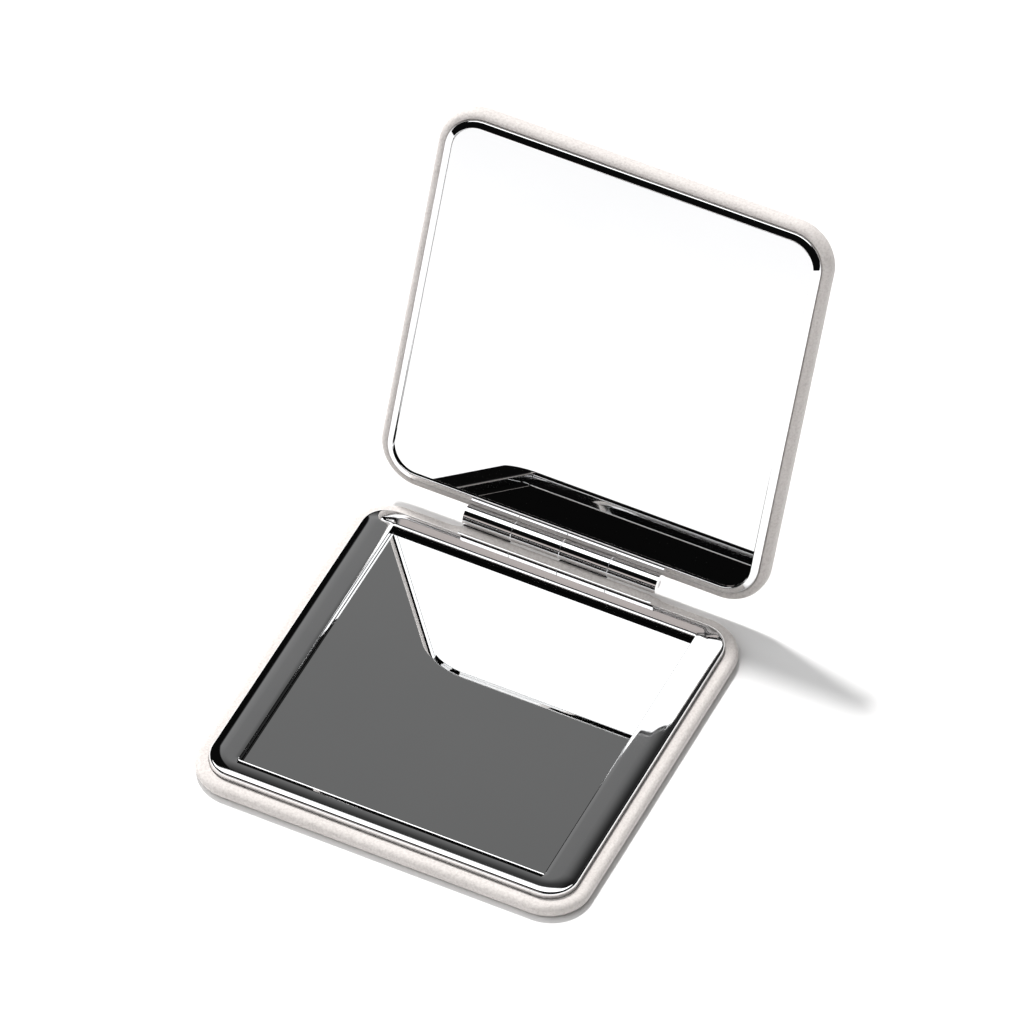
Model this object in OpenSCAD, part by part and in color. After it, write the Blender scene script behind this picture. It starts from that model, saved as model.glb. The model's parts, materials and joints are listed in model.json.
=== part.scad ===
// Square pocket compact with two padded, leather-covered halves.
// Each half carries a bright frame and a mirror, and a four-knuckle hinge joins them.
// The base lies flat and the lid stands open on its stop.
// Origin: centre of the base's underside. +X runs along the hinge, +Y points to it, +Z is up.

/* [Case] */
// Outside width and depth of the square case
case_w = 75; // [70:0.5:90]
// Radius of the case's corners, seen from above
corner_r = 8; // [7.6:0.1:9]
// Thickness of one half, from its outer face to the seam
half_t = 4.3; // [4.3:0.05:4.6]
// Height of the leather's rim above its half's outer face
rim_h = 2.6; // [2.5:0.05:2.6]
// Rounding of the leather's outer edges
soft_r = 1.2; // [1:0.1:1.2]

/* [Wall] */
// Thickness of the leather
leather_t = 0.5; // [0.4:0.05:0.5]
// Thickness of the foam on the side walls
foam_side_t = 0.85; // [0.7:0.05:0.85]
// Thickness of the foam under the floor
foam_floor_t = 0.4; // [0.3:0.05:0.4]
// Thickness of the moulded shell's side walls
shell_side_t = 1.1; // [1:0.05:1.1]
// Thickness of the moulded shell's floor
shell_floor_t = 0.6; // [0.5:0.05:0.6]

/* [Base frame] */
// Width of the opening around the base mirror, along X
window_w = 58.4; // [56:0.2:60]
// Depth of the opening around the base mirror, along Y
window_d = 61.4; // [59:0.2:61.4]
// Width of the frame's crowned slope, from its flat band to its outer side
crown_w = 3; // [2.6:0.1:3.2]
// Radius of the crowned slope
crown_r = 12; // [11:0.5:14]
// Rounding of the frame's outer edge
ridge_r = 0.6; // [0.5:0.05:0.7]

/* [Mirrors] */
// Thickness of the base mirror's glass
base_glass_t = 1.3; // [1.2:0.05:1.4]
// Thickness of the lid mirror's glass
lid_glass_t = 1; // [0.9:0.05:1]
// Thickness of each adhesive sheet
tape_t = 0.15; // [0.1:0.05:0.15]
// How much narrower the leather's rim is around the lid mirror than around the base frame
lid_trim = 0.85; // [0.7:0.05:0.9]
// Width of the lid's bright bezel, seen from the mirror side
bezel_w = 1.35; // [1.3:0.05:1.4]
// Depth of the lid mirror below the bezel's ridge
lid_mirror_drop = 0.5; // [0.4:0.05:0.5]

/* [Hinge] */
// Outside diameter of the hinge barrel
barrel_d = 3.8; // [3.6:0.1:3.8]
// Length of the hinge barrel
barrel_l = 37.5; // [34:0.5:40]
// Distance of the hinge axis behind the case's back edge
axis_out = 1.05; // [1:0.05:1.2]
// Height of the hinge axis above the seam
axis_rise = 0.5; // [0.45:0.05:0.55]
// Diameter of the hinge pin
pin_d = 1.2; // [1:0.1:1.4]
// Angle between the two halves when the lid stands on its stop
open_deg = 110; // [90:0.5:115]

/* [Magnets] */
// Diameter of the magnets and of their steel strike discs
magnet_d = 3; // [2.5:0.1:3]
// Distance of each magnet from the case's middle, along X
magnet_x = 24; // [20:0.5:26]

/* [Hidden] */
$fn = 96;

// Clearance between glued or pressed pieces
slip = 0.02;
// Clearance around moving metal
run = 0.05;
// Gap between neighbouring knuckles, and half of the gap between the two frames
knuckle_gap = 0.14;
seam_gap = 0.05;
// Overshoot of the cutting bodies, and overlap of bodies that grow together
past = 1;
bite = 0.1;

// Centre of each corner, and each surface's distance from that centre
corner_c = case_w / 2 - corner_r;
foam_edge = corner_r - leather_t;
shell_edge = foam_edge - foam_side_t;
frame_edge = shell_edge - shell_side_t - slip;

// Heights above a half's outer face
foam_low = leather_t;
shell_low = foam_low + foam_floor_t;
deck = shell_low + shell_floor_t;
ridge_h = half_t - seam_gap;
foam_high = rim_h - leather_t;

// Hollow under the base frame's band, and the wall around each magnet
band_wall = 0.7;
band_roof = 2.9;
magnet_wall = 0.5;

// Gap around the base mirror, and inset of each adhesive sheet
glass_gap = 0.1;
tape_inset = 1;

// Lid's carrier plate and the seat that it makes for the mirror
lid_frame_edge = frame_edge + lid_trim;
carrier_gap = 0.6;
lid_glass_high = ridge_h - lid_mirror_drop;
lid_glass_low = lid_glass_high - lid_glass_t;
carrier_high = lid_glass_low - tape_t;
carrier_low = deck + carrier_gap;
bezel_edge = lid_frame_edge - bezel_w;
bezel_r = 1.25;
skirt_t = 0.6;

// Hinge axis seen from each half, barrel and leaves
axis_y = case_w / 2 + axis_out;
axis_z = half_t + axis_rise;
lid_axis_h = 2 * half_t - axis_z;
barrel_r = barrel_d / 2;
knuckles = 4;
knuckle_l = barrel_l / knuckles;
leaf_t = 0.5;
leaf_lift = 0.1;
rim_gap = 0.05;
leaf_low = deck + leaf_lift;
leaf_web_y = case_w / 2 - 3.8;
leaf_in_y = case_w / 2 - 5.9;
leaf_clear = 0.3;

// Rivets that hold the leaves
rivet_r = 0.5;
rivet_head_r = 0.9;
rivet_head_t = 0.3;
rivet_y = case_w / 2 - 4.9;
rivet_pitch = 14;

// Magnets and strike discs
magnet_y = -(case_w / 2 - 4.8);
magnet_h = 1.4;
strike_h = 0.55;

leather = [0.93, 0.91, 0.89];
foam = [0.85, 0.83, 0.78];
plastic = [0.88, 0.87, 0.85];
bright = [0.78, 0.79, 0.81];
glass = [0.62, 0.65, 0.68];
tape = [0.2, 0.2, 0.2];
steel = [0.6, 0.6, 0.62];
magnet = [0.45, 0.46, 0.48];

// Profile of a slab's edge with both corners rounded; x is the distance from a corner's centre.
module soft_profile(edge, low, high, r) {
    translate([0, low])
        square([edge - r, high - low]);
    translate([0, low + r])
        square([edge, high - low - 2 * r]);
    for (z = [low + r, high - r])
        translate([edge - r, z])
            circle(r);
}

// Sweeps a profile once around the rounded square, as four corners and four sides.
module around() {
    for (turn = [0 : 90 : 270])
        rotate([0, 0, turn])
            translate([corner_c, corner_c, 0]) {
                rotate_extrude(angle = 90)
                    children();
                rotate([90, 0, 0])
                    linear_extrude(2 * corner_c)
                        children();
            }
}

// Rounded square plate whose sides lie at a distance from the corner centres.
module plate(edge, low, high) {
    translate([0, 0, low])
        linear_extrude(high - low) {
            square([2 * (corner_c + edge), 2 * corner_c], center = true);
            square([2 * corner_c, 2 * (corner_c + edge)], center = true);
            for (x = [-corner_c, corner_c], y = [-corner_c, corner_c])
                translate([x, y])
                    circle(edge);
        }
}

// Plate with soft edges.
module soft_plate(edge, low, high, r) {
    around()
        soft_profile(edge, low, high, r);
    translate([-corner_c, -corner_c, low])
        cube([2 * corner_c, 2 * corner_c, high - low]);
}

// Block between two heights, centred in X, from one depth to another.
module block(width, y_low, y_high, low, high) {
    translate([-width / 2, y_low, low])
        cube([width, y_high - y_low, high - low]);
}

// Cylinder along the hinge from one X to another.
module along_hinge(x_low, x_high, r, z) {
    translate([x_low, axis_y, z])
        rotate([0, 90, 0])
            cylinder(h = x_high - x_low, r = r);
}

// Leather skin of one half, turned in over its rim. trim widens the room for the metal inside.
module cover(trim) {
    difference() {
        soft_plate(corner_r, 0, rim_h, soft_r);
        soft_plate(foam_edge, foam_low, foam_high, soft_r - leather_t);
        plate(frame_edge + trim + slip, foam_low, rim_h + past);
    }
}

// Foam tray between the leather and the shell.
module padding(trim) {
    difference() {
        soft_plate(foam_edge - slip, foam_low, foam_high - slip, soft_r - leather_t);
        plate(shell_edge + trim / 2, shell_low, rim_h);
    }
}

// Moulded tray that gives one half its stiffness, with seats for the rivets' heads.
module shell(trim) {
    difference() {
        plate(shell_edge + trim / 2 - slip, shell_low, foam_high - slip);
        plate(frame_edge + trim + slip, deck, rim_h);
        at_rivets()
            translate([0, 0, leaf_low - rivet_head_t - slip])
                cylinder(h = half_t, r = rivet_head_r + 2 * slip);
    }
}

// Places a child at each rivet of a leaf.
module at_rivets() {
    for (x = [-rivet_pitch, 0, rivet_pitch])
        translate([x, rivet_y, 0])
            children();
}

// Rivets that hold a leaf up against the piece above it.
module rivets() {
    at_rivets() {
        translate([0, 0, leaf_low - rivet_head_t])
            cylinder(h = rivet_head_t, r = rivet_head_r);
        translate([0, 0, leaf_low - bite])
            cylinder(h = carrier_high - leaf_low - slip, r = rivet_r);
    }
}

// Holes for the rivets' shanks.
module rivet_holes() {
    at_rivets()
        translate([0, 0, deck])
            cylinder(h = half_t, r = rivet_r + slip);
}

// Underside of a leaf's tongue: level with the barrel's, or just clear of the leather's rim.
function tongue_low_at(axis_h) = max(axis_h - barrel_r, rim_h + rim_gap);

// One half's hinge leaf, in that half's own frame, with its knuckles on the given axis height.
// first is 0 or 1 and picks every second knuckle.
module leaf(first, axis_h, trim) {
    web_y = leaf_web_y + trim;
    tongue_low = tongue_low_at(axis_h);
    reach = axis_y - barrel_r - leaf_clear;
    width = barrel_l - 2 * run;
    difference() {
        union() {
            block(width, leaf_in_y, web_y + leaf_t, leaf_low, leaf_low + leaf_t);
            block(width, web_y, web_y + leaf_t, leaf_low, tongue_low + leaf_t);
            block(width, web_y, reach, tongue_low, tongue_low + leaf_t);
            for (i = [first : 2 : knuckles - 1])
                knuckle(i, axis_h, reach, tongue_low);
        }
        along_hinge(-barrel_l, barrel_l, pin_d / 2 + run, axis_h);
        rivet_holes();
    }
}

// One knuckle and the strip that joins it to its leaf.
module knuckle(i, axis_h, reach, tongue_low) {
    x_low = -barrel_l / 2 + i * knuckle_l + knuckle_gap / 2;
    x_high = x_low + knuckle_l - knuckle_gap;
    along_hinge(x_low, x_high, barrel_r, axis_h);
    translate([x_low, reach - leaf_t, tongue_low])
        cube([x_high - x_low, axis_y - reach + leaf_t, leaf_t]);
}

// Slot in a frame for its leaf's tongue and web.
module leaf_slot(axis_h, trim) {
    web_y = leaf_web_y + trim;
    tongue_low = tongue_low_at(axis_h);
    block(barrel_l, web_y - run, case_w / 2, tongue_low - run, tongue_low + leaf_t + run);
    block(barrel_l, web_y - run, web_y + leaf_t + run, 0, tongue_low + leaf_t + run);
}

// Section of the base frame: a flat band, a crowned slope and a rounded outer edge.
module base_frame_profile() {
    flat_w = frame_edge - crown_w;
    slope_w = crown_w - ridge_r;
    edge_h = ridge_h - crown_r + sqrt(pow(crown_r - ridge_r, 2) - pow(slope_w, 2));
    translate([0, deck])
        square([flat_w, ridge_h - deck]);
    intersection() {
        translate([flat_w, ridge_h - crown_r])
            circle(crown_r, $fn = 360);
        translate([flat_w, deck])
            square([slope_w * crown_r / (crown_r - ridge_r), half_t]);
    }
    translate([frame_edge - ridge_r, edge_h])
        circle(ridge_r);
    translate([0, deck])
        square([frame_edge, edge_h - deck]);
}

module base_cover() {
    color(leather)
        cover(0);
}

module base_padding() {
    color(foam)
        padding(0);
}

module base_shell() {
    color(plastic)
        shell(0);
}

// Bright frame around the base mirror, hollow below, with bosses for the rivets and the magnets.
module base_frame() {
    color(bright)
        difference() {
            union() {
                difference() {
                    union() {
                        around()
                            base_frame_profile();
                        translate([-corner_c, -corner_c, deck])
                            cube([2 * corner_c, 2 * corner_c, ridge_h - deck]);
                    }
                    plate(frame_edge - band_wall, 0, band_roof);
                }
                window_wall();
                at_rivets()
                    translate([0, 0, leaf_low + leaf_t])
                        cylinder(h = band_roof - leaf_low - leaf_t + bite, r = rivet_head_r);
                at_magnets()
                    cylinder(h = band_roof - deck + bite, r = magnet_d / 2 + magnet_wall);
            }
            translate([-window_w / 2, -window_d / 2, -past])
                cube([window_w, window_d, half_t + 2 * past]);
            rivet_bores();
            at_magnets()
                translate([0, 0, -past])
                    cylinder(h = magnet_h + past + slip, r = magnet_d / 2 + slip);
            leaf_slot(axis_z, 0);
        }
}

// Wall that closes the base frame's hollow towards the window.
module window_wall() {
    wall_w = window_w + 2 * band_wall;
    wall_d = window_d + 2 * band_wall;
    translate([-wall_w / 2, -wall_d / 2, deck])
        cube([wall_w, wall_d, ridge_h - deck - 2 * bite]);
}

// Blind bores for the rivets in the base frame.
module rivet_bores() {
    at_rivets()
        cylinder(h = carrier_high + slip, r = rivet_r + slip);
}

// Places a child on the deck at both magnets.
module at_magnets() {
    for (side = [-1, 1])
        at_magnet(side)
            children();
}

module at_magnet(side) {
    translate([side * magnet_x, magnet_y, deck])
        children();
}

// Block that fills the base frame's window up to a gap on each side.
module window_block(gap, low, high) {
    block(window_w - 2 * gap, gap - window_d / 2, window_d / 2 - gap, low, high);
}

module base_mirror() {
    color(glass)
        window_block(glass_gap, deck + tape_t, deck + tape_t + base_glass_t);
}

module base_mirror_tape() {
    color(tape)
        window_block(tape_inset, deck, deck + tape_t);
}

module base_magnet(side) {
    color(magnet)
        at_magnet(side)
            cylinder(h = magnet_h, r = magnet_d / 2);
}

module base_magnet_left() {
    base_magnet(-1);
}

module base_magnet_right() {
    base_magnet(1);
}

module base_hinge_leaf() {
    color(bright)
        leaf(0, axis_z, 0);
}

module base_hinge_rivets() {
    color(steel)
        rivets();
}

module hinge_pin() {
    color(steel)
        along_hinge(-barrel_l / 2 + 2 * run, barrel_l / 2 - 2 * run, pin_d / 2, axis_z);
}

// Turns a half over onto the base and opens it about the hinge.
module opened() {
    translate([0, axis_y, axis_z])
        rotate([-open_deg, 0, 0])
            translate([0, -axis_y, 2 * half_t - axis_z])
                mirror([0, 0, 1])
                    children();
}

module lid_cover() {
    color(leather)
        opened()
            cover(lid_trim);
}

module lid_padding() {
    color(foam)
        opened()
            padding(lid_trim);
}

module lid_shell() {
    color(plastic)
        opened()
            shell(lid_trim);
}

// Section of the lid's bezel: highest at the mirror, rounded off to its outer side, with a thin skirt below.
module bezel_profile() {
    intersection() {
        translate([lid_frame_edge - bezel_r, ridge_h - bezel_r])
            circle(bezel_r);
        translate([bezel_edge, carrier_high])
            square([bezel_w, half_t]);
    }
    translate([bezel_edge, carrier_high])
        square([bezel_w - bezel_r, ridge_h - carrier_high]);
    translate([bezel_edge, carrier_high])
        square([bezel_w, ridge_h - bezel_r - carrier_high]);
    translate([lid_frame_edge - skirt_t, deck])
        square([skirt_t, ridge_h - bezel_r - deck]);
}

// Narrow bright bezel around the lid mirror.
module lid_frame() {
    color(bright)
        opened()
            difference() {
                around()
                    bezel_profile();
                leaf_slot(lid_axis_h, lid_trim);
            }
}

// Plate that holds the lid mirror in its bezel.
module lid_carrier() {
    color(plastic)
        opened()
            difference() {
                plate(lid_frame_edge - skirt_t - slip, carrier_low, carrier_high);
                block(barrel_l, leaf_web_y + lid_trim - run, case_w / 2, 0, half_t);
                rivet_holes();
            }
}

module lid_mirror() {
    color(glass)
        opened()
            plate(bezel_edge - run, lid_glass_low, lid_glass_high);
}

module lid_mirror_tape() {
    color(tape)
        opened()
            plate(bezel_edge - tape_inset, carrier_high, lid_glass_low);
}

module lid_strike(side) {
    color(steel)
        opened()
            at_magnet(side)
                cylinder(h = strike_h, r = magnet_d / 2);
}

module lid_strike_left() {
    lid_strike(-1);
}

module lid_strike_right() {
    lid_strike(1);
}

module lid_hinge_leaf() {
    color(bright)
        opened()
            leaf(1, lid_axis_h, lid_trim);
}

module lid_hinge_rivets() {
    color(steel)
        opened()
            rivets();
}

base_cover();
base_padding();
base_shell();
base_frame();
base_mirror();
base_mirror_tape();
base_magnet_left();
base_magnet_right();
base_hinge_leaf();
base_hinge_rivets();
hinge_pin();
lid_cover();
lid_padding();
lid_shell();
lid_frame();
lid_carrier();
lid_mirror();
lid_mirror_tape();
lid_strike_left();
lid_strike_right();
lid_hinge_leaf();
lid_hinge_rivets();
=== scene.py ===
"""Looks of the square pocket compact: leather and foam in mesh code, metal, mirrors, studio and camera."""

import json
import math

import bpy
from mathutils import Matrix, Vector, noise


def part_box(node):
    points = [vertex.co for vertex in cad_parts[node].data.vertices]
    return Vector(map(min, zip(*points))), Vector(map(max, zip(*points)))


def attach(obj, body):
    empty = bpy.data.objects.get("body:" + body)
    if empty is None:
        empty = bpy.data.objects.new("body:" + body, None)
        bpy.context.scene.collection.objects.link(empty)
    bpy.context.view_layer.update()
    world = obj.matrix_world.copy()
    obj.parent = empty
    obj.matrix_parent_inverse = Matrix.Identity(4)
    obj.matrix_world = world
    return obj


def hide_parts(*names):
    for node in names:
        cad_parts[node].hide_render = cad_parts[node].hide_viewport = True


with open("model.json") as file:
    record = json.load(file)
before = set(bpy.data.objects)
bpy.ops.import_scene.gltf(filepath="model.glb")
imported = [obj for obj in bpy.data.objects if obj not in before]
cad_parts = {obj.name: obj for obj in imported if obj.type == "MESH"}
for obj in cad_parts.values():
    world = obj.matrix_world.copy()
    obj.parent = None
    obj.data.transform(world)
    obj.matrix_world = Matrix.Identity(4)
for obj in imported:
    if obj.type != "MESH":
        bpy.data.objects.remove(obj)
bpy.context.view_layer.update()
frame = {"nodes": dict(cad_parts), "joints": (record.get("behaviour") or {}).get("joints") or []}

MM = 0.001

# Plan of the case, shared with the CAD model. Distances from a corner's centre are called edge.
CORNER_R = 8 * MM
SEAM_GAP = 0.05 * MM
SLIP = 0.02 * MM

# Leather and foam
SOFT_R = 1.2 * MM
LEATHER_T = 0.5 * MM
FOAM_FLOOR_T = 0.4 * MM
BASE_FOAM_WALL_T = 0.83 * MM
LID_FOAM_WALL_T = 0.4 * MM
TUCK_R = 0.25 * MM
LID_RIM_HIGH = 3.3 * MM
LID_CROWN = 0.22 * MM
WAVINESS = 0.03 * MM

# Leather over the hinge
LEAF_T = 0.5 * MM
LEAF_GAP = 0.05 * MM
LEAF_COVER = 1.2 * MM
BARREL_GAP = 0.12 * MM

# Mesh steps
CORNER_STEPS = 24
SIDE_STEPS = 40
ROUND_STEPS = 10
CROWN_STEPS = 16

# Base's bright frame
CROWN_W = 3 * MM
CROWN_R = 12 * MM
RIDGE_R = 0.6 * MM
WINDOW_SOFT = 0.9 * MM
WINDOW_SINK = 0.05 * MM
WINDOW_R = 0.2 * MM
FRONT_BEVEL = 0.88 * MM
FRONT_BEVEL_DEG = 20
FRONT_BEAD = 0.18 * MM
FRONT_BEAD_DEG = 18
BACK_SLOPE = 0.217
BACK_DISH = 0.01075 / MM
WINDOW_GAP = 0.1 * MM
WALL_T = 0.7 * MM
BAND_T = 1.2 * MM

# Lid's bright bezel
BEZEL_W = 1.35 * MM
BEZEL_R = 0.5 * MM
BEZEL_LIP = 0.15 * MM
BEZEL_DEG = 27
BEZEL_SKIRT = 0.6 * MM
BEZEL_SEAT = 2.6 * MM

# Sizes taken from the CAD model
JOINT = frame["joints"][0]
CASE_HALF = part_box("base_cover")[1].x
RIM_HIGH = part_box("base_cover")[1].z
FRAME_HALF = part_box("base_frame")[1].x
FRAME_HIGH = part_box("base_frame")[1].z
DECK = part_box("base_shell")[1].z
CORNER_C = CASE_HALF - CORNER_R
FRAME_EDGE = FRAME_HALF - CORNER_C
LID_FRAME_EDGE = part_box("lid_frame")[1].x - CORNER_C
HALF_T = FRAME_HIGH + SEAM_GAP
AXIS = Vector(JOINT["pos_m"])
BARREL_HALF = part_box("base_hinge_leaf")[1].x
BARREL_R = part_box("base_hinge_leaf")[1].z - AXIS.z
GLASS_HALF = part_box("base_mirror")[1]


# ---------------------------------------------------------------- meshes


def lid_placement():
    """Matrix that turns a half over onto the base and opens it about the hinge."""
    opened = math.radians(JOINT["range_deg"][1])
    flip = Matrix.Diagonal((1, 1, -1, 1))
    lift = Matrix.Translation((0, -AXIS.y, 2 * HALF_T - AXIS.z))
    return Matrix.Translation(AXIS) @ Matrix.Rotation(-opened, 4, "X") @ lift @ flip


def path():
    """Points round a rounded square: place on the square of corner centres (-1 to 1), and outward direction."""
    points = []
    for turn in range(4):
        cos, sin = round(math.cos(turn * math.pi / 2)), round(math.sin(turn * math.pi / 2))
        for k in range(SIDE_STEPS + 1):
            s = 2 * k / SIDE_STEPS - 1
            points.append(((cos - sin * s, sin + cos * s), (cos, sin)))
        for k in range(1, CORNER_STEPS):
            a = turn * math.pi / 2 + k / CORNER_STEPS * math.pi / 2
            points.append(((cos - sin, sin + cos), (math.cos(a), math.sin(a))))
    return points


def ring(points, corner_c, edge, high):
    """One closed ring of corners, at a distance from the corner centres and a height."""
    wide, deep = corner_c if isinstance(corner_c, tuple) else (corner_c, corner_c)
    return [Vector((u[0] * wide + n[0] * edge, u[1] * deep + n[1] * edge, high)) for u, n in points]


def skin(name, rings, loop=True):
    """Mesh object through rings of equal count. It closes from last ring to first, or with a face at each end."""
    count = len(rings[0])
    verts = [v for r in rings for v in r]
    faces = []
    pairs = [(i, i + 1) for i in range(len(rings) - 1)]
    if loop:
        pairs.append((len(rings) - 1, 0))
    for a, b in pairs:
        for k in range(count):
            m = (k + 1) % count
            faces.append((a * count + k, a * count + m, b * count + m, b * count + k))
    if not loop:
        faces.append(tuple(reversed(range(count))))
        faces.append(tuple(range((len(rings) - 1) * count, len(rings) * count)))
    mesh = bpy.data.meshes.new(name)
    mesh.from_pydata(verts, [], faces)
    obj = bpy.data.objects.new(name, mesh)
    bpy.context.scene.collection.objects.link(obj)
    return obj


def finish_mesh(obj, sharp=35):
    """Smooth shading, with creases only where faces meet at more than the given angle."""
    obj.data.validate()
    obj.data.update()
    obj.data.shade_smooth()
    obj.data.set_sharp_from_angle(angle=math.radians(sharp))
    return obj


def arc(centre, radius, start, end, steps, wide=1.0):
    """Points of an arc in (edge, height), angles in degrees from the outward direction."""
    out = []
    for k in range(steps + 1):
        a = math.radians(start + (end - start) * k / steps)
        out.append((centre[0] + radius * wide * math.cos(a), centre[1] + radius * math.sin(a)))
    return out


def floor_rings(points, edge, high, crown, steps=9):
    """Rings of a floor, from near its middle out to the given edge, with a low crown."""
    out = []
    for k in range(1, steps):
        s = k / steps
        out.append(ring(points, CORNER_C * s, edge * s, high - crown * (1 - s * s) ** 1.5))
    return out


def cover_rings(points, crown, rim, metal_edge):
    """Leather skin of one half: outer face, rounded side, rim, tuck beside the frame, then the same inside."""
    inner = metal_edge + SLIP
    outside = [(CORNER_R - SOFT_R, 0)]
    outside += arc((CORNER_R - SOFT_R, SOFT_R), SOFT_R, -90, 0, ROUND_STEPS)[1:]
    outside += arc((CORNER_R - SOFT_R, rim - SOFT_R), SOFT_R, 0, 90, ROUND_STEPS)
    outside += arc((inner + TUCK_R, rim - TUCK_R), TUCK_R, 90, 180, 6)
    low_r = SOFT_R - LEATHER_T
    edge = CORNER_R - LEATHER_T
    inside = [(inner, rim - LEATHER_T - 0.02 * MM), (inner + 0.2 * MM, rim - LEATHER_T)]
    inside += arc((edge - low_r, rim - LEATHER_T - low_r), low_r, 90, 0, 5)
    inside += arc((edge - low_r, LEATHER_T + low_r), low_r, 0, -90, 5)
    first = floor_rings(points, outside[0][0], 0, crown)
    first += [ring(points, CORNER_C, e, z) for e, z in outside]
    last = [ring(points, CORNER_C, e, z) for e, z in inside]
    last += list(reversed(floor_rings(points, inside[-1][0], LEATHER_T, 0)))
    return first, last


def over_leaf(rings, rim, axis_high):
    """Lifts the rim over the hinge leaf's tongue, and presses it in where the barrel lies."""
    tongue_top = max(axis_high - BARREL_R, RIM_HIGH + LEAF_GAP) + LEAF_T
    top = max(rim, tongue_top + LEATHER_T / 2)
    for r in rings:
        for v in r:
            along = (BARREL_HALF + LEAF_COVER - abs(v.x)) / LEAF_COVER
            share = min(max(along, 0), 1)
            share = share * share * (3 - 2 * share)
            if v.y < CORNER_C + FRAME_EDGE - 1 * MM or share == 0:
                continue
            rise = max(0, 2 * v.z / rim - 1)
            v.z += (top - rim) * share * rise * rise
            away = Vector((v.y - AXIS.y, v.z - axis_high))
            clear = (BARREL_R + BARREL_GAP) * share
            if away.length < clear:
                away = away.normalized() * clear
                v.y, v.z = AXIS.y + away.x, axis_high + away.y


def soften(rings, size, seed):
    """Faint hand-made waviness of the padded leather, along the outward and upward directions."""
    shift = Vector((seed, 2 * seed, 3 * seed))
    for r in rings:
        for v in r:
            d = Vector((v.x, v.y, 0))
            far = max(abs(v.x), abs(v.y)) - FRAME_HALF
            if far <= 0.2 * MM or v.z < 0.3 * MM:
                continue
            wave = noise.noise(v * 90 + shift) + 0.5 * noise.noise(v * 240 + shift)
            v.xy = (d - d.normalized() * size * (0.7 + wave)).xy


def leather_cover(name, body, node, place, crown, rim, metal_edge, axis_high, seed):
    first, last = cover_rings(path(), crown, rim, metal_edge)
    soften(first, WAVINESS, seed)
    over_leaf(first, rim, axis_high)
    return placed(skin(name, first + last, loop=False), body, node, place)


def foam_pad(name, body, node, place, thick):
    """Foam tray between the leather and the shell."""
    points = path()
    r = SOFT_R - LEATHER_T - SLIP
    edge = CORNER_R - LEATHER_T - SLIP
    low = LEATHER_T + SLIP
    high = RIM_HIGH - LEATHER_T - 2 * SLIP
    shell_edge = edge - thick
    outside = arc((edge - r, low + r), r, -90, 0, 6) + arc((edge - r, high - r), r, 0, 90, 6)
    inside = [(shell_edge, high), (shell_edge, low + FOAM_FLOOR_T - SLIP)]
    first = floor_rings(points, outside[0][0], low, 0)
    first += [ring(points, CORNER_C, e, z) for e, z in outside]
    last = [ring(points, CORNER_C, e, z) for e, z in inside]
    last += list(reversed(floor_rings(points, inside[-1][0], low + FOAM_FLOOR_T - SLIP, 0)))
    return placed(skin(name, first + last, loop=False), body, node, place)


def crown_profile():
    """Outer side, rounded edge and crowned slope of the base frame, up to its flat band, as (edge, height)."""
    slope = CROWN_W - RIDGE_R
    edge_h = FRAME_HIGH - CROWN_R + math.sqrt((CROWN_R - RIDGE_R) ** 2 - slope ** 2)
    steep = math.degrees(math.asin(slope / (CROWN_R - RIDGE_R)))
    side = [(FRAME_EDGE, DECK + (edge_h - DECK) * k / 4) for k in range(4)]
    round_edge = arc((FRAME_EDGE - RIDGE_R, edge_h), RIDGE_R, 0, 90 - steep, 14)
    crown = arc((FRAME_EDGE - CROWN_W, FRAME_HIGH - CROWN_R), CROWN_R, 90 - steep, 90, CROWN_STEPS)
    return side + round_edge + crown[1:]


def window_ring(points, out, high, lead=0.0, sink=0.0):
    """Ring round the base mirror's window, at a distance outside it. At the front it can lie further out or lower."""
    soft = 0.12 * MM
    half = (GLASS_HALF.x + WINDOW_GAP - soft, GLASS_HALF.y + WINDOW_GAP - soft)
    out_ring = ring(points, half, out + soft, high)
    for v, (_, n) in zip(out_ring, points):
        share = max(-n[1], 0) ** 2
        v.y -= lead * share
        v.z -= sink * share
    return out_ring


def frame_ring(name):
    """Base frame: crowned band whose inner edge rolls over into the window's wall, hollow below."""
    points = path()
    valley = FRONT_BEVEL * math.tan(math.radians(FRONT_BEVEL_DEG))
    bead = FRONT_BEAD * math.tan(math.radians(FRONT_BEAD_DEG))
    rings = [ring(points, CORNER_C, e, z) for e, z in crown_profile()]
    front = FRONT_BEVEL + FRONT_BEAD
    for k in range(7):
        t = k / 6
        out = WINDOW_R + (WINDOW_SOFT - WINDOW_R) * (1 - t)
        lead = front + WINDOW_R - out + 0.06 * MM * (1 - t)
        rings.append(window_ring(points, out, FRAME_HIGH - WINDOW_SINK * t * t, lead, -WINDOW_SINK * t * t))
    high = FRAME_HIGH - WINDOW_SINK
    for k in range(1, 5):
        t = k / 4
        rings.append(window_ring(points, WINDOW_R, high, front - FRONT_BEVEL * t, valley * t - WINDOW_SINK))
    for k in range(1, 4):
        t = k / 3
        rings.append(window_ring(points, WINDOW_R, high, FRONT_BEAD * (1 - t), valley - bead * t - WINDOW_SINK))
    for k in range(1, 9):
        a = math.radians(90 * k / 8)
        out = WINDOW_R * (1 - math.sin(a))
        drop = WINDOW_R * (1 - math.cos(a))
        rings.append(window_ring(points, out, high - drop, 0, valley - bead - WINDOW_SINK))
    roof = FRAME_HIGH - BAND_T
    for out, high in ((0, DECK), (WALL_T, DECK), (WALL_T, roof)):
        rings.append(window_ring(points, out, high))
    for high in (roof, DECK):
        rings.append(ring(points, CORNER_C, FRAME_EDGE - WALL_T, high))
    lean_back(rings, points, roof)
    return placed(skin(name, rings), "base", "base_frame", None)


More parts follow.
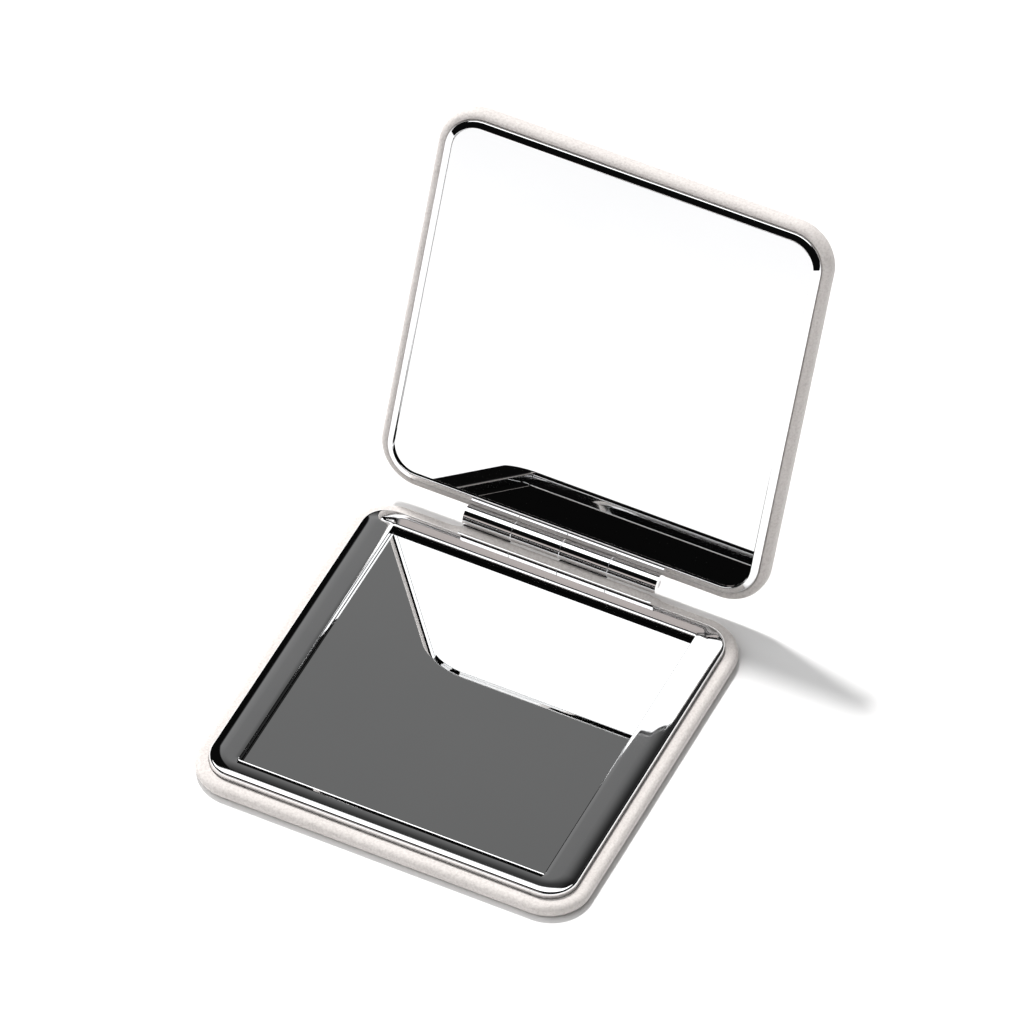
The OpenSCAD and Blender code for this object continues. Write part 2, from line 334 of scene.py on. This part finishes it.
def lean_back(rings, points, roof):
    """Turns the frame's back band from a crown into a faintly dished slope down towards the hinge."""
    band = crown_profile()
    own_drop = FRAME_HIGH - band[-CROWN_STEPS - 1][1]
    for k, r in enumerate(rings):
        for v, (_, n) in zip(r, points):
            lift = min(max(v.z - roof, 0) * 2 / (FRAME_HIGH - roof), 1) * max(n[1], 0) ** 2
            if k < len(band):
                v.z += lift * min(FRAME_HIGH - v.z, own_drop)
            out = max(v.y - GLASS_HALF.y - WINDOW_GAP, 0)
            v.z -= lift * (BACK_SLOPE - BACK_DISH * out) * out


def bezel_ring(name, place):
    """Lid's bezel: highest at the mirror, bevelled and rounded to its outer side, with a thin skirt below it."""
    edge = LID_FRAME_EDGE
    inner = edge - BEZEL_W
    skirt = edge - BEZEL_SKIRT
    steep = math.radians(BEZEL_DEG)
    start = inner + BEZEL_LIP * (1 + math.sin(steep))
    start_high = FRAME_HIGH - BEZEL_LIP * (1 - math.cos(steep))
    drop = math.tan(steep) * (edge - BEZEL_R * (1 - math.sin(steep)) - start)
    centre = (edge - BEZEL_R, start_high - drop - BEZEL_R * math.cos(steep))
    section = [(edge, DECK), (edge, BEZEL_SEAT)]
    outer = arc(centre, BEZEL_R, 0, 90 - BEZEL_DEG, 20)
    lip = arc((inner + BEZEL_LIP, FRAME_HIGH - BEZEL_LIP), BEZEL_LIP, 90 - BEZEL_DEG, 180, 8)
    bevel = [tuple(a + (b - a) * k / 8 for a, b in zip(outer[-1], lip[0])) for k in range(1, 8)]
    section += outer + bevel + lip
    section += [(inner, BEZEL_SEAT), (skirt, BEZEL_SEAT), (skirt, DECK)]
    rings = [ring(path(), CORNER_C, e, z) for e, z in section]
    return placed(skin(name, rings), "lid", "lid_frame", place)


def placed(obj, body, node, place):
    """Puts a half's own piece where it belongs, and lets it stand for its CAD node."""
    if place is not None:
        obj.data.transform(place)
        if place.determinant() < 0:
            obj.data.flip_normals()
    finish_mesh(obj)
    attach(obj, body)
    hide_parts(node)
    return obj


# ---------------------------------------------------------------- materials


class Graph:
    """Short names for building one material's nodes."""

    def __init__(self, name):
        self.mat = bpy.data.materials.new(name)
        self.mat.use_nodes = True
        self.tree = self.mat.node_tree
        self.shader = self.tree.nodes["Principled BSDF"]
        self.place = self.add("ShaderNodeTexCoord").outputs["Object"]

    def add(self, kind, **values):
        node = self.tree.nodes.new(kind)
        for key, value in values.items():
            if hasattr(node, key):
                setattr(node, key, value)
            else:
                node.inputs[key.replace("_", " ").title()].default_value = value
        return node

    def link(self, a, b):
        self.tree.links.new(a, b)

    def noise(self, scale, detail=3.0, rough=0.5, where=None):
        node = self.add("ShaderNodeTexNoise")
        node.inputs["Scale"].default_value = scale
        node.inputs["Detail"].default_value = detail
        node.inputs["Roughness"].default_value = rough
        self.link(where or self.place, node.inputs["Vector"])
        return node.outputs["Fac"]

    def cells(self, scale, smooth=0.6, where=None):
        node = self.add("ShaderNodeTexVoronoi", feature="SMOOTH_F1")
        node.inputs["Scale"].default_value = scale
        node.inputs["Smoothness"].default_value = smooth
        self.link(where or self.place, node.inputs["Vector"])
        return node.outputs["Distance"]

    def span(self, value, low, high, out_low, out_high):
        node = self.add("ShaderNodeMapRange")
        for key, number in (("From Min", low), ("From Max", high), ("To Min", out_low), ("To Max", out_high)):
            node.inputs[key].default_value = number
        self.link(value, node.inputs["Value"])
        return node.outputs["Result"]

    def math(self, kind, a, b):
        node = self.add("ShaderNodeMath", operation=kind)
        for socket, value in zip(node.inputs, (a, b)):
            if isinstance(value, (int, float)):
                socket.default_value = value
            else:
                self.link(value, socket)
        return node.outputs["Value"]

    def ramp(self, value, *stops):
        node = self.add("ShaderNodeValToRGB")
        band = node.color_ramp
        while len(band.elements) < len(stops):
            band.elements.new(0.5)
        for element, (at, colour) in zip(band.elements, stops):
            element.position = at
            element.color = (*colour, 1)
        self.link(value, node.inputs["Fac"])
        return node.outputs["Color"]

    def bump(self, height, distance, strength=1.0, base=None):
        node = self.add("ShaderNodeBump")
        node.inputs["Strength"].default_value = strength
        node.inputs["Distance"].default_value = distance
        self.link(height, node.inputs["Height"])
        if base is not None:
            self.link(base, node.inputs["Normal"])
        return node.outputs["Normal"]

    def set(self, **values):
        for key, value in values.items():
            socket = self.shader.inputs[key.replace("_", " ")]
            if hasattr(value, "is_output"):
                self.link(value, socket)
            elif isinstance(value, tuple):
                socket.default_value = (*value, 1)
            else:
                socket.default_value = value
        return self.mat


def leather_material():
    """Off-white fine-grained leather: pebbled cells, fine creases, slow colour drift, darker pores, a faint sheen."""
    g = Graph("leather_offwhite")
    drift = g.noise(55, 2.0)
    pebble = g.cells(1900, 0.35)
    crease = g.noise(3600, 4.0, 0.65)
    grain = g.math("ADD", pebble, g.math("MULTIPLY", crease, 0.6))
    fleck = g.noise(2300, 3.0, 0.7)
    tone = g.math("ADD", g.math("MULTIPLY", drift, 0.18), g.math("MULTIPLY", fleck, 0.82))
    colour = g.ramp(tone, (0.34, (0.605, 0.566, 0.544)), (0.5, (0.715, 0.675, 0.650)), (0.66, (0.775, 0.738, 0.713)))
    rough = g.span(grain, 0.3, 1.2, 0.45, 0.66)
    wave = g.bump(g.noise(420, 2.0), 0.04 * MM, 0.6)
    normal = g.bump(grain, 0.06 * MM, 1.0, wave)
    g.set(Base_Color=colour, Roughness=rough, Normal=normal, Specular_IOR_Level=0.38)
    g.shader.inputs["Sheen Weight"].default_value = 0.15
    g.shader.inputs["Sheen Roughness"].default_value = 0.45
    return g.mat


def chrome_material():
    """Polished plated metal with a very faint haze and hairline polish."""
    g = Graph("chrome_bright")
    haze = g.noise(160, 3.0)
    hair = g.noise(2600, 2.0, 0.7)
    rough = g.span(g.math("ADD", haze, g.math("MULTIPLY", hair, 0.3)), 0.35, 0.95, 0.022, 0.05)
    colour = g.ramp(haze, (0.3, (0.875, 0.88, 0.89)), (0.7, (0.91, 0.912, 0.915)))
    return g.set(Base_Color=colour, Roughness=rough, Metallic=1.0)


def mirror_material():
    """Silvered glass, with the faintest uneven film on it."""
    g = Graph("mirror_glass")
    film = g.noise(38, 4.0, 0.55)
    rough = g.span(film, 0.55, 0.85, 0.004, 0.018)
    colour = g.ramp(film, (0.3, (0.815, 0.822, 0.825)), (0.75, (0.835, 0.84, 0.842)))
    return g.set(Base_Color=colour, Roughness=rough, Metallic=1.0)


def foam_material():
    g = Graph("foam_soft")
    cells = g.cells(3200, 0.2)
    colour = g.ramp(g.noise(260), (0.3, (0.62, 0.60, 0.53)), (0.7, (0.70, 0.68, 0.61)))
    return g.set(Base_Color=colour, Roughness=g.span(cells, 0, 0.8, 0.95, 0.8), Normal=g.bump(cells, 0.06 * MM))


def plastic_material():
    g = Graph("plastic_moulded")
    spark = g.noise(3000, 2.0)
    colour = g.ramp(g.noise(90), (0.3, (0.66, 0.65, 0.63)), (0.7, (0.72, 0.71, 0.69)))
    return g.set(Base_Color=colour, Roughness=g.span(spark, 0.3, 0.7, 0.42, 0.55), Normal=g.bump(spark, 0.006 * MM))


def tape_material():
    g = Graph("tape_black")
    weave = g.noise(1800, 2.0)
    colour = g.ramp(weave, (0.3, (0.02, 0.02, 0.02)), (0.7, (0.04, 0.04, 0.04)))
    return g.set(Base_Color=colour, Roughness=g.span(weave, 0.3, 0.7, 0.55, 0.75))


def steel_material(name, dark, light, rough_low, rough_high):
    """Turned or pressed steel with fine tool marks."""
    g = Graph(name)
    marks = g.noise(1500, 4.0, 0.65)
    colour = g.ramp(marks, (0.3, dark), (0.7, light))
    rough = g.span(marks, 0.3, 0.7, rough_low, rough_high)
    return g.set(Base_Color=colour, Roughness=rough, Metallic=1.0, Normal=g.bump(marks, 0.003 * MM))


def paint(obj, mat):
    obj.data.materials.clear()
    obj.data.materials.append(mat)


def bevelled(obj, width, segments=3, angle=30):
    """Fine rounded edges, as plating and polishing leave them."""
    mod = obj.modifiers.new("edges", "BEVEL")
    mod.width = width
    mod.segments = segments
    mod.limit_method = "ANGLE"
    mod.angle_limit = math.radians(angle)
    mod.harden_normals = True


# ---------------------------------------------------------------- the object


def dress():
    nodes = frame["nodes"]
    leather, chrome, mirror = leather_material(), chrome_material(), mirror_material()
    foam, plastic, tape = foam_material(), plastic_material(), tape_material()
    steel = steel_material("steel_plain", (0.50, 0.50, 0.51), (0.62, 0.62, 0.63), 0.22, 0.34)
    magnet = steel_material("magnet_nickel", (0.42, 0.42, 0.43), (0.52, 0.52, 0.53), 0.18, 0.28)
    lid = lid_placement()
    base_leather = leather_cover("base_leather", "base", "base_cover", None, 0, RIM_HIGH, FRAME_EDGE, AXIS.z, 3.1)
    lid_leather = leather_cover(
        "lid_leather", "lid", "lid_cover", lid, LID_CROWN, LID_RIM_HIGH, LID_FRAME_EDGE, 2 * HALF_T - AXIS.z, 7.7
    )
    base_foam = foam_pad("base_foam", "base", "base_padding", None, BASE_FOAM_WALL_T)
    lid_foam = foam_pad("lid_foam", "lid", "lid_padding", lid, LID_FOAM_WALL_T)
    for obj in (base_leather, lid_leather):
        paint(obj, leather)
    for obj in (base_foam, lid_foam):
        paint(obj, foam)
    for obj in (frame_ring("base_bright_frame"), bezel_ring("lid_bright_bezel", lid)):
        paint(obj, chrome)
    finishes = {
        "base_hinge_leaf": chrome, "lid_hinge_leaf": chrome,
        "base_mirror": mirror, "lid_mirror": mirror,
        "base_shell": plastic, "lid_shell": plastic, "lid_carrier": plastic,
        "base_mirror_tape": tape, "lid_mirror_tape": tape,
        "base_hinge_rivets": steel, "lid_hinge_rivets": steel, "hinge_pin": steel,
        "lid_strike_left": steel, "lid_strike_right": steel,
        "base_magnet_left": magnet, "base_magnet_right": magnet,
    }
    for name, mat in finishes.items():
        paint(nodes[name], mat)
    for name in ("base_hinge_leaf", "lid_hinge_leaf"):
        bevelled(nodes[name], 0.12 * MM)


# ---------------------------------------------------------------- studio

CAMERA_AZIMUTH = 23.661
CAMERA_ELEVATION = 47.062
CAMERA_ROLL = 2.308
CAMERA_DISTANCE = 2150.725 * MM
CAMERA_TRACK = (7.708 * MM, 34.954 * MM)
SENSOR_WIDTH = 36
LENS = 434.457

KEY_DIRECTION = Vector((-0.332, 0.386, 0.861))
KEY_ANGLE = 5.0
KEY_STRENGTH = 2.9

# Reflected surroundings: a long panel overhead, a dim back wall, and darkness in front and at the sides.
# Wall stops are the sine of the elevation and the light there.
PANEL_FRONT = -0.20
PANEL_BACK = 0.42
PANEL_SKEW = 0.15
PANEL_LEFT = -1.3
PANEL_RIGHT = 0.75
PANEL_SOFT = 0.03
PANEL_LIGHT = 2.2
WALL_STOPS = ((0.0, 0.005), (0.42, 0.005), (0.56, 0.3), (0.62, 0.3), (0.73, 0.23), (0.86, 0.055), (0.95, 0.03))
WALL_LEFT = -0.75
WALL_RIGHT = -0.08
FRONT_LIGHT = 0.004

# Low light strip behind the viewer, given by the sine of its lowest and highest elevation
STRIP_LOW = 0.22
STRIP_HIGH = 0.46
STRIP_LEFT = -0.65
STRIP_RIGHT = 0.05
STRIP_LIGHT = 0.7
STRIP_COLOUR = (0.8, 0.72, 0.69, 1)
PLAIN_COLOUR = (0.8, 0.8, 0.8, 1)

# Soft fill that lights the matt surfaces
FILL_DIRECTION = Vector((-0.6, -0.1, 0.8))
FILL_HALF_ANGLE = 48
FILL_LIGHT = 1.42
FILL_AROUND = 0.15
BACKDROP = 1.0


def camera():
    a, e, roll = (math.radians(v) for v in (CAMERA_AZIMUTH, CAMERA_ELEVATION, CAMERA_ROLL))
    back = Vector((math.sin(a) * math.cos(e), -math.cos(a) * math.cos(e), math.sin(e)))
    level = (-back).cross(Vector((0, 0, 1))).normalized()
    upright = level.cross(-back)
    right = math.cos(roll) * level + math.sin(roll) * upright
    up = -math.sin(roll) * level + math.cos(roll) * upright
    at = back * CAMERA_DISTANCE + right * CAMERA_TRACK[0] + up * CAMERA_TRACK[1]
    data = bpy.data.cameras.new("camera")
    data.sensor_width = SENSOR_WIDTH
    data.lens = LENS
    data.clip_start = 0.05
    data.clip_end = 100
    obj = bpy.data.objects.new("camera", data)
    bpy.context.scene.collection.objects.link(obj)
    turn = Matrix((right, up, back)).transposed()
    obj.matrix_world = Matrix.Translation(at) @ turn.to_4x4()
    bpy.context.scene.camera = obj


def key_light():
    data = bpy.data.lights.new("key", "SUN")
    data.angle = math.radians(KEY_ANGLE)
    data.energy = KEY_STRENGTH
    data.color = (1.0, 0.99, 0.985)
    obj = bpy.data.objects.new("key", data)
    obj.rotation_mode = "QUATERNION"
    obj.rotation_quaternion = KEY_DIRECTION.to_track_quat("Z", "Y")
    obj.visible_glossy = False
    bpy.context.scene.collection.objects.link(obj)


def studio_world():
    """What shiny surfaces reflect, a soft fill for matt ones, and a pale backdrop behind the view."""
    world = bpy.data.worlds.new("studio")
    bpy.context.scene.world = world
    world.use_nodes = True
    tree = world.node_tree
    tree.nodes.clear()

    def add(kind, **values):
        node = tree.nodes.new(kind)
        for key, value in values.items():
            setattr(node, key, value)
        return node

    def put(value, socket):
        if isinstance(value, (int, float)):
            socket.default_value = value
        else:
            tree.links.new(value, socket)

    def calc(kind, a, b):
        node = add("ShaderNodeMath", operation=kind)
        put(a, node.inputs[0])
        put(b, node.inputs[1])
        return node.outputs["Value"]

    def step(value, at, soft, up=True):
        """Smooth step from 0 to 1 around a value, or from 1 to 0."""
        node = add("ShaderNodeMapRange")
        node.interpolation_type = "SMOOTHSTEP"
        low, high = (0, 1) if up else (1, 0)
        for key, number in (("From Min", at - soft), ("From Max", at + soft), ("To Min", low), ("To Max", high)):
            node.inputs[key].default_value = number
        put(value, node.inputs["Value"])
        return node.outputs["Result"]

    def pick(factor, a, b):
        node = add("ShaderNodeMix", data_type="FLOAT")
        put(factor, node.inputs[0])
        put(a, node.inputs[2])
        put(b, node.inputs[3])
        return node.outputs[0]

    where = add("ShaderNodeTexCoord").outputs["Generated"]
    split = add("ShaderNodeSeparateXYZ")
    tree.links.new(where, split.inputs[0])
    x, y, z = split.outputs
    high = calc("MAXIMUM", z, 0.05)
    along, deep = calc("DIVIDE", x, high), calc("DIVIDE", y, high)
    skewed = calc("SUBTRACT", deep, calc("MULTIPLY", along, PANEL_SKEW))
    panel = calc("MULTIPLY", step(skewed, PANEL_FRONT, PANEL_SOFT), step(skewed, PANEL_BACK, PANEL_SOFT, False))
    panel = calc("MULTIPLY", panel, step(along, PANEL_LEFT, 3 * PANEL_SOFT))
    panel = calc("MULTIPLY", panel, step(along, PANEL_RIGHT, 3 * PANEL_SOFT, False))
    ramp = add("ShaderNodeValToRGB")
    band = ramp.color_ramp
    while len(band.elements) < len(WALL_STOPS):
        band.elements.new(0.5)
    for element, (at, light) in zip(band.elements, WALL_STOPS):
        element.position = at
        element.color = (light, light, light, 1)
    put(z, ramp.inputs["Fac"])
    around = calc("DIVIDE", x, calc("MAXIMUM", y, 0.05))
    patch = calc("MULTIPLY", step(around, WALL_LEFT, 0.03), pick(step(around, WALL_RIGHT, 0.22), 1.0, 0.12))
    behind = calc("MULTIPLY", step(y, 0.0, 0.12), patch)
    wall = pick(behind, FRONT_LIGHT, ramp.outputs["Color"])
    strip = calc("MULTIPLY", step(z, STRIP_LOW, 0.02), step(z, STRIP_HIGH, 0.03, False))
    ahead = calc("DIVIDE", x, calc("MAXIMUM", calc("MULTIPLY", y, -1), 0.05))
    strip = calc("MULTIPLY", strip, step(ahead, STRIP_LEFT, 0.1))
    strip = calc("MULTIPLY", strip, step(ahead, STRIP_RIGHT, 0.1, False))
    wall = calc("ADD", wall, calc("MULTIPLY", strip, STRIP_LIGHT))
    shiny = calc("ADD", wall, calc("MULTIPLY", panel, PANEL_LIGHT))

    dot = add("ShaderNodeVectorMath", operation="DOT_PRODUCT")
    tree.links.new(where, dot.inputs[0])
    dot.inputs[1].default_value = FILL_DIRECTION.normalized()
    cap = step(dot.outputs["Value"], math.cos(math.radians(FILL_HALF_ANGLE)), 0.1)
    matt = calc("ADD", calc("MULTIPLY", cap, FILL_LIGHT), FILL_AROUND)

    rays = add("ShaderNodeLightPath").outputs
    light = add("ShaderNodeBackground")
    tint = add("ShaderNodeMix", data_type="RGBA")
    put(calc("MULTIPLY", strip, rays["Is Glossy Ray"]), tint.inputs[0])
    tint.inputs[6].default_value = PLAIN_COLOUR
    tint.inputs[7].default_value = STRIP_COLOUR
    tree.links.new(tint.outputs[2], light.inputs["Color"])
    put(pick(rays["Is Camera Ray"], pick(rays["Is Diffuse Ray"], shiny, matt), BACKDROP), light.inputs["Strength"])
    out = add("ShaderNodeOutputWorld")
    tree.links.new(light.outputs[0], out.inputs["Surface"])


def floor():
    size = 12.0
    mesh = bpy.data.meshes.new("floor")
    corners = [(-size, -size, 0), (size, -size, 0), (size, size, 0), (-size, size, 0)]
    mesh.from_pydata(corners, [], [(0, 1, 2, 3)])
    obj = bpy.data.objects.new("floor", mesh)
    bpy.context.scene.collection.objects.link(obj)
    g = Graph("floor_pale_painted_falloff")
    far = g.add("ShaderNodeVectorMath", operation="LENGTH")
    g.link(g.place, far.inputs[0])
    # Painted light falloff: the floor's colour darkens from 0.93 near the case to 0.80 further out, in place of light
    # that fades with distance.
    colour = g.ramp(
        g.span(far.outputs["Value"], 0.1, 0.6, 0, 1), (0, (0.93, 0.93, 0.93)), (1, (0.80, 0.80, 0.81))
    )
    g.set(Base_Color=colour, Roughness=0.9, Specular_IOR_Level=0.0)
    paint(obj, g.mat)


def studio():
    camera()
    key_light()
    studio_world()
    floor()
    scene = bpy.context.scene
    scene.view_settings.view_transform = "Standard"
    scene.view_settings.look = "None"
    scene.cycles.max_bounces = 16
    scene.cycles.glossy_bounces = 10
    scene.cycles.diffuse_bounces = 5
    scene.cycles.sample_clamp_indirect = 4.0


dress()
studio()
